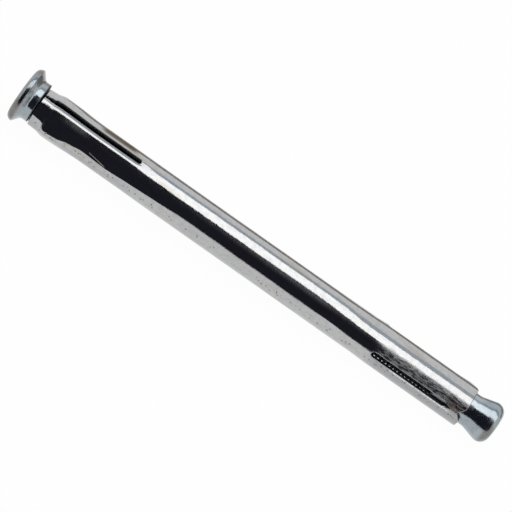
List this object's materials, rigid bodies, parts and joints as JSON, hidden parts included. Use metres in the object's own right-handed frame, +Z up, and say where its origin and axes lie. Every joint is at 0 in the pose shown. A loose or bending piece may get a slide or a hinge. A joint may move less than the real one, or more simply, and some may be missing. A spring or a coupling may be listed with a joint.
{
  "type": "metal frame anchor",
  "caption": "Metal frame anchor: trumpet-headed screw in a slotted sheet-steel sleeve with a cone nut at its tip, for fixing door and window frames.",
  "frame": {"origin": "middle of the part, on the surface it lies on", "axes": "+X along the anchor from its head to its tip, +Z up from the surface it lies on; the rim of the head and the widest ring of the nut touch that surface, so the axis slopes down 0.81 degrees to the tip"},
  "size_m": [0.1244, 0.013, 0.013],
  "materials": {
    "bright_zinc": "bright zinc plating on rolled sheet, fine scratches along it, faint yellow and violet tint",
    "blue_zinc": "bluish zinc plating on a cold-formed screw",
    "blue_zinc_nut": "bluish zinc plating on a formed cone nut"
  },
  "bodies": {
    "sleeve": {"sleeve": "bright_zinc"},
    "screw": {"screw": "blue_zinc"},
    "cone_nut": {"cone_nut": "blue_zinc_nut"}
  },
  "joints": [
    {"name": "screw_turn", "type": "hinge", "parent": "sleeve", "child": "screw", "pos_m": [-0.06216, 0, 0.00651], "axis": [0.9999, 0, -0.0141], "range_deg": [-2736, 0]},
    {"name": "nut_travel", "type": "slide", "parent": "sleeve", "child": "cone_nut", "axis": [0.9999, 0, -0.0141], "range_m": [0, 0.0076]}
  ],
  "couplings": [
    {"joint": "screw_turn", "follows": "nut_travel", "rad_per_m": -6283.2}
  ]
}
